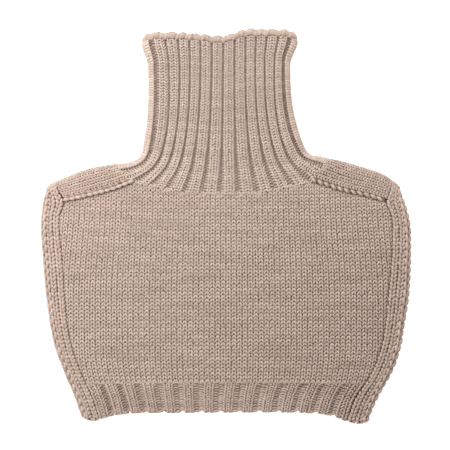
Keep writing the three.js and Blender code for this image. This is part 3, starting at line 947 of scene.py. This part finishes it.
def rim_cloth():
    """The rolled edge round the collar's mouth, which dips between the ribs."""
    place = np.arange(COLLAR_PLACES * RIM_LINES[0]) / RIM_LINES[0]
    shares = depth_share(np.array([EDGE_HEIGHT, EDGE_HEIGHT / 2, 0]))
    lines = collar_course(place, shares)
    crest = np.sin(np.pi * (place % 1))[:, None]
    up = unit(lines[2] - lines[0]) * RIM_HALF_HEIGHT * lerp(RIM_LEAST, 1, crest)
    normal = Cloth(lines, (0, COLLAR_PLACES), (0, 2), ring=True).normals[1]
    middle = lines[1] - normal * WALL / 2 + up * RIM_DIP * (crest - 1)
    angle = np.radians(np.linspace(*RIM_TURN, RIM_LINES[1]))[:, None, None]
    points = middle + normal * RIM_HALF_DEPTH * np.cos(angle) + up * np.sin(angle)
    return Cloth(points, (0, COLLAR_PLACES), (0, RIM_ROWS), ring=True)


def make_collar_edge():
    """Puffs of yarn side by side, each from the outer foot of the edge to its inner foot."""
    cloth = rim_cloth()
    yarn = Yarn()
    place = (np.arange(PUFFS) + rng.normal(0, PUFF_SHIFT, PUFFS)) * COLLAR_PLACES / PUFFS
    yarn.lay(cloth, place, rng.normal(*PUFF_ROWS, PUFFS), PUFF, closed=True, shade=0.02, loose=1.3)
    core = ground("collar_edge_core", cloth, depth=0.9, thick=0.9, coarse=(4, 2), outside=INSIDE_TONE)
    return core, {"stitches": yarn}


# Shoulder straps. The chain along a front seam lies on a ridge, and has a shape, a step in rows, a place
# past the last stitch and options.
STRAP_COLUMN = 5.3
STRAP_ROW = 3.2
STRAP_LINES = (40, 60)
STRAP_ALONG = np.linspace(0, 1, 90)
CHAIN_WIDE = 0.8
CHAIN_FIRST_ROW = 0.8
CHAINS = {
    "left": (ROLL, 1.97, 0.47, {"wide": 0.8}),
    "right": (LINK, 2.2, 0.4, {"wide": 0.97, "side": -1, "tall": 1.4}),
}
RIDGE = (0.4, 0.32, 0.9)
GROOVE = (0.92, 0.18, -0.5)
JOINT = (0.97, 0.24, -2.4)
JOINT_LONG = 0.3


def band_meets(side, height):
    """Where a line of the shoulder meets the seam of a side band."""
    seam = along(BODY, "seam_" + side)
    return seam(height(seam(height(seam(SHOULDER_Y)))))


def strap_layer(layer, side, i, k):
    """Places of a layer of a shoulder strap: i from left to right, k from its seam to the fold."""
    at_seam, at_fold = (0, FIRST_RIB) if side == "left" else (1, LAST_RIB)

    def seam(x):
        return strap_seam(layer, x)

    def neck_side(k):
        return neckline(layer, lerp(STRAP_RIBS[layer][at_seam], at_fold, k))

    def band_side(k):
        low, high = band_meets(side, seam), band_meets(side, fold_y)
        return lerp(pair(low, seam(low)), pair(high, fold_y(high)), k[..., None])

    start, end = (band_side, neck_side) if side == "left" else (neck_side, band_side)

    def border(at, height):
        low, high = start(at), end(at)
        x = lerp(low[..., 0], high[..., 0], i)
        lift = lerp(low[..., 1] - height(low[..., 0]), high[..., 1] - height(high[..., 0]), i)
        return pair(x, height(x) + lift)

    def between(k):
        return lerp(start(k), end(k), i[..., None])

    zero, one = np.zeros_like(k), np.ones_like(k)
    across = lerp(border(zero, seam), border(one, fold_y), k[..., None])
    return across + between(k) - lerp(between(zero), between(one), k[..., None])


def strap_cloth(side):
    """Columns run from the back seam over the fold to the front seam, and rows from left to right."""
    turn = np.sin(np.linspace(0, np.pi / 2, STRAP_LINES[0]))
    faces = []
    for layer, ks in (("back", turn), ("front", turn[::-1])):
        k, i = np.meshgrid(ks, np.linspace(0, 1, STRAP_LINES[1]), indexing="ij")
        spot = strap_layer(layer, side, i, k)
        fold = strap_layer(layer, side, i, np.ones_like(k))
        faces.append(on_face(layer, spot, np.linalg.norm(spot - fold, axis=-1)))
    points, girth = at_shares(np.concatenate([faces[0], faces[1][1:]]), STRAP_ALONG)
    points = points.transpose(1, 0, 2)
    stitches = round(girth / STRAP_COLUMN - CHAIN_WIDE)
    columns = stitches + CHAIN_WIDE
    rows = round(np.linalg.norm(np.diff(points[:, -1], axis=0), axis=1).sum() / STRAP_ROW)
    cloth = Cloth(points, (0, columns), (0, rows))
    column, row = cloth.grid_places()
    from_edge = columns - column
    raised = bump(from_edge, *RIDGE) + bump(from_edge, *GROOVE)
    if side == "left":
        step = CHAINS["left"][1]
        from_joint = (row - CHAIN_FIRST_ROW) % step - step / 2
        raised += bump(from_edge, *JOINT) * bump(from_joint, 0, JOINT_LONG)
    return cloth.pressed(-raised), stitches, rows


def make_strap(side):
    """Knit stitches, and a chain raised along the front seam, where it was picked up."""
    cloth, stitches, rows = strap_cloth(side)
    yarn = Yarn()
    knit(yarn, cloth, np.arange(stitches) + 0.5, np.arange(rows)[:, None], stout=0.9)
    shape, step, past, how = CHAINS[side]
    yarn.lay(cloth, stitches + past, np.arange(CHAIN_FIRST_ROW, rows, step), shape, closed=True, **how)
    return ground(f"shoulder_strap_{side}_cloth", cloth, coarse=(3, 1.5)), {"stitches": yarn}


# Side bands: places count from the outer edge, 0, to the seam, 3, and are negative where the edge turns
# under. Shares are of the band's width, and a turned end has two angles and its lines.
BAND_ROW = 4.0
BAND_PLACES = (0, 1, 2, 3)
BAND_SHARES = (0.10, 0.25, 0.63, 1.0)
EDGE_RADIUS = 1.8
EDGE_LINES = 16
BAND_SLANT = 8
BAND_LINES = (120, 30)
BAND_ACROSS = 49
BAND_ALONG = np.linspace(0, 1, 360)
BAND_END_TURN = (120, 15, 8)
BAND_GROOVES = ((1, 0.14, 0.5), (2, 0.14, 0.9), (3, 0.14, 1.5))
BAND_FOLD_FLAT = (0.5, 0.045, 0.85)
SELVEDGE_AT = 0.1


def band_layers(side):
    """Both faces of a band, from the hem to the shoulder's fold and back."""
    outer, seam = along(BODY, side), along(BODY, "seam_" + side)
    last = 0 if side == "left" else -1
    corner_x, tip_x = HEM_EDGE["x"][last], SHOULDER_FOLDS["x"][last]
    straight = np.linspace(0, 1 - BAND_TURN, BAND_LINES[0])
    turn = lerp(1 - BAND_TURN, 1, np.sin(np.linspace(0, np.pi / 2, BAND_LINES[1])))
    shares = np.interp(np.linspace(0, 3, BAND_ACROSS), BAND_PLACES, BAND_SHARES)
    up, share = np.meshgrid(np.concatenate([straight[:-1], turn]), shares, indexing="ij")
    bottom = hem_edge(lerp(corner_x, HEM_SEAM_X[side], share)) + EDGE_RADIUS
    fold_x = lerp(tip_x, seam(SHOULDER_Y), share)
    top = fold_y(fold_x)
    middle = [BAND_ACROSS // 2]
    low, high = bottom[:, middle], top[:, middle]
    y = lerp(low, high, up) + (top - high) * up**BAND_SLANT + (bottom - low) * (1 - up) ** BAND_SLANT
    x = lerp(lerp(outer(y), seam(y), share), lerp(tip_x, fold_x, share), up**BAND_TIP_HOLD)
    spot = pair(x, y)
    return on_face("front", spot, top - y), on_face("back", spot, top - y)[::-1]


def turned_end(start, inward):
    """Lines that turn under from the first or last line of a band, at the hem."""
    angle = np.radians(np.linspace(*BAND_END_TURN))[:, None]
    turned = np.repeat(start[None], len(angle), axis=0)
    turned[..., 1] -= EDGE_RADIUS * np.sin(angle)
    turned[..., 2] += inward * EDGE_RADIUS * (1 - np.cos(angle))
    return turned


def band_cloth(side):
    """Rows run up the front, over the shoulder and down the back."""
    front, back = band_layers(side)
    chain = [turned_end(front[0], -1), front, back[1:], turned_end(back[-1], 1)[::-1]]
    points, length = at_shares(np.concatenate(chain), BAND_ALONG, by_line=BAND_ACROSS // 2)
    first, order = (-1, 1) if side == "left" else (-3, -1)
    flat = Cloth(points[:, ::order], (0, 1), (0, 1))
    normal = flat.normals[:, ::order][:, :1]
    outward = unit(points[:, :1] - points[:, 4:5])
    angle = np.radians(np.linspace(180, 0, EDGE_LINES + 1))[:-1, None]
    edge = points[:, :1] + outward * EDGE_RADIUS * np.sin(angle)
    edge = edge - normal * EDGE_RADIUS * (1 - np.cos(angle))
    points = np.concatenate([edge, points], axis=1)[:, ::order]
    rows = round(length / BAND_ROW)
    cloth = Cloth(points, (first, first + 4), (0, rows))
    column, row = cloth.grid_places()
    groove = sum(bump(column * order, *each) for each in BAND_GROOVES)
    return cloth.pressed(groove * (1 - bump(row / rows, *BAND_FOLD_FLAT))), rows, order


def make_band(side):
    """Two columns of knit stitches and a chain selvedge, whose stitches are two rows tall."""
    cloth, rows, order = band_cloth(side)
    yarn = Yarn()
    row = np.arange(rows)
    chain = np.arange(0, rows - 1, 2)
    for inner, dive in ((True, 1), (False, SHALLOW)):
        kept = row[((row > 0) & (row < rows - 1)) == inner]
        for place in (1.5, 2.5):
            knit(yarn, cloth, order * place, kept, leg=LEG * dive, wide=1.03, stout=1.3, spread=1.1)
        kept = chain[((chain > 0) & (chain < rows - 3)) == inner]
        knit(yarn, cloth, SELVEDGE_AT * order, kept, leg=SELVEDGE * dive, wide=1.75, tall=2, closed=True)
    base = ground(f"side_band_{side}_cloth", cloth, coarse=(3, 2), outside=0.45)
    return base, {"stitches": yarn}


def linear(rgb):
    """A colour from 0 to 255 as it shows, as the shader's linear colour."""
    return (*(((c / 255 + 0.055) / 1.055) ** 2.4 for c in rgb), 1)


def fill(node, inputs):
    """Gives a shader node's inputs their values, or links them to outputs of other nodes."""
    for key, value in inputs.items():
        if isinstance(value, bpy.types.NodeSocket):
            node.id_data.links.new(value, node.inputs[key])
        else:
            node.inputs[key].default_value = value


def new_material(name):
    """A material, its nodes and its surface."""
    material = bpy.data.materials.new(name)
    material.use_nodes = True
    nodes = material.node_tree.nodes
    return material, nodes, nodes["Principled BSDF"]


# Wool: noise scales are per metre, and shares are of the way from the dark to the light colour
WOOL_SURFACE = {
    "Roughness": 0.92,
    "Specular IOR Level": 0.15,
    "Sheen Weight": 0.3,
    "Sheen Roughness": 0.5,
}
HEATHER = {"Scale": 900, "Detail": 3}
HEATHER_SHARE = 0.3
HAIRS = {"Scale": 2200, "Detail": 2}
RIDGE_SHADE_SHARE = 0.05
TONE_OFFSET = -0.15
RELIEF = {"Strength": 0.4, "Distance": 0.0003}


def wool(name, dark, light, ridge=0.35):
    """Soft matt wool: heathered, with fine hairs and ridges, which are plies of yarn or rows of stitches."""
    material, nodes, surface = new_material(name)
    dark, light = linear(dark), linear(light)

    def add(kind, output, inputs, **settings):
        """An output of a new node."""
        node = nodes.new(kind)
        for key, setting in settings.items():
            setattr(node, key, setting)
        fill(node, inputs)
        return node.outputs[output]

    def sum_of(first, factor, second=0.0):
        """first times factor, plus second."""
        return add("ShaderNodeMath", 0, {0: first, 1: factor, 2: second}, operation="MULTIPLY_ADD")

    def sine(phase):
        return add("ShaderNodeMath", 0, {0: phase}, operation="SINE")

    def attribute(key):
        return add("ShaderNodeAttribute", "Fac", {}, attribute_name=key)

    def noise(settings):
        return add("ShaderNodeTexNoise", "Fac", {"Vector": place, **settings})

    place = add("ShaderNodeTexCoord", "Object", {})
    wiggle = sine(sum_of(attribute("across"), 2 * np.pi))
    ridges = sine(sum_of(attribute("twist"), 4 * np.pi, wiggle))
    # Painted shade: the colour is darker in the ridges' grooves, and the tone attribute holds painted shade
    # as well as the yarn's own random tone.
    tone = sum_of(ridges, RIDGE_SHADE_SHARE * ridge, sum_of(attribute("tone"), 1.0, TONE_OFFSET))
    mixed = {"A": dark, "B": light, "Factor": sum_of(noise(HEATHER), HEATHER_SHARE, tone)}
    relief = {"Height": sum_of(ridges, ridge, noise(HAIRS)), **RELIEF}
    fill(surface, {
        **WOOL_SURFACE,
        "Sheen Tint": light,
        "Base Color": add("ShaderNodeMix", "Result", mixed, data_type="RGBA"),
        "Normal": add("ShaderNodeBump", "Normal", relief),
    })
    return material


WOOL = {
    "panel": wool("wool_panel", (104, 78, 65), (192, 174, 162)),
    "rib": wool("wool_rib", (112, 86, 73), (208, 191, 179)),
    "edge": wool("wool_edge", (104, 78, 65), (192, 173, 161)),
    # The ground stands for the back of the knit, and its dark colour is painted shade for the gaps between
    # the strands.
    "ground": wool("wool_ground", (46, 28, 20), (190, 172, 160), ridge=3),
}

# Node, material slot, its maker with options, its wool, the number of loose fibres, its flat width and
# length with the share of that rectangle which its shape covers, and what it rests on
PIECES = [
    ("collar", "rib_knit", make_collar, [], "rib", 5000, (360, 170, 1), ["front_panel", "back_panel"]),
    ("collar_edge", "edge_knit", make_collar_edge, [], "edge", 10000, (300, 10, 1), ["collar"]),
    ("front_panel", "stocking_knit", make_panel, ["front"], "panel", 5500, (332, 205, 0.94), ["back_panel"]),
    ("back_panel", "stocking_knit", make_panel, ["back"], "panel", 5500, (332, 214, 0.96), ["floor"]),
    ("hem_front", "rib_knit", make_hem, ["front"], "panel", 2000, (262, 34, 1), ["hem_back"]),
    ("hem_back", "rib_knit", make_hem, ["back"], "panel", 2000, (262, 34, 1), ["floor"]),
    ("shoulder_strap_left", "edge_knit", make_strap, ["left"], "edge", 1500, (75, 38, 1), ["back_panel"]),
    ("shoulder_strap_right", "edge_knit", make_strap, ["right"], "edge", 1500, (75, 38, 1), ["back_panel"]),
    ("side_band_left", "edge_knit", make_band, ["left"], "edge", 3000, (455, 28, 1), ["floor"]),
    ("side_band_right", "edge_knit", make_band, ["right"], "edge", 3000, (455, 28, 1), ["floor"]),
]

for node, slot, make, options, colour, fibres, (width, length, share), rests_on in PIECES:
    base, yarns = make(*options)
    on_it = [yarns["stitches"].fuzz(f"{node}_fuzz", fibres, WOOL[colour])]
    on_it += [yarn.mesh(f"{node}_{name}", WOOL[colour]) for name, yarn in yarns.items()]
    for piece in [base, *on_it]:
        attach(piece, "root")
        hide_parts(node)

# Floor, in metres: it glows a little, so that it shows as pale as a studio's paper
FLOOR_HALF = 6.0
FLOOR_DROP = 0.0003
FLOOR_PAINT = {
    "Base Color": (0.6, 0.6, 0.6, 1),
    "Roughness": 0.8,
    "Emission Color": (1, 1, 1, 1),
    "Emission Strength": 0.75,
}

corners = [(x * FLOOR_HALF, y * FLOOR_HALF, 0) for x, y in ((-1, -1), (1, -1), (1, 1), (-1, 1))]
mesh = bpy.data.meshes.new("floor")
mesh.from_pydata(corners, [], [(0, 1, 2, 3)])
material, nodes, surface = new_material("floor_paint")
fill(surface, FLOOR_PAINT)
mesh.materials.append(material)
floor = put("floor", mesh)
floor.location.z = -FLOOR_DROP

# Camera, straight above, in metres, with its sensor in millimetres
VIEW_WIDTH = 0.450
VIEW_CENTRE = (-0.001, 0.002)
CAMERA_HEIGHT = 1.9
GARMENT_HEIGHT = 0.012
CAMERA_SENSOR = 36

camera_data = bpy.data.cameras.new("camera")
camera_data.sensor_width = CAMERA_SENSOR
camera_data.lens = CAMERA_SENSOR * CAMERA_HEIGHT / VIEW_WIDTH
camera = put("camera", camera_data)
camera.location = (*VIEW_CENTRE, CAMERA_HEIGHT + GARMENT_HEIGHT)
bpy.context.scene.camera = camera


def area_light(name, place, size, power):
    """A round light that points at the garment."""
    light = bpy.data.lights.new(name, "AREA")
    light.shape = "DISK"
    light.size = size
    light.energy = power
    lamp = put(name, light)
    lamp.location = place
    lamp.rotation_euler = (-Vector(place)).to_track_quat("-Z", "Y").to_euler()


area_light("key", place=(-0.53, 0.15, 0.50), size=1.1, power=10.0)
area_light("fill", place=(0.20, 0.52, 0.36), size=0.6, power=3.2)

SURROUND = {"Color": (1, 0.96, 0.93, 1), "Strength": 0.38}

world = bpy.data.worlds.new("studio")
world.use_nodes = True
fill(world.node_tree.nodes["Background"], SURROUND)
bpy.context.scene.world = world
bpy.context.scene.view_settings.view_transform = "Standard"
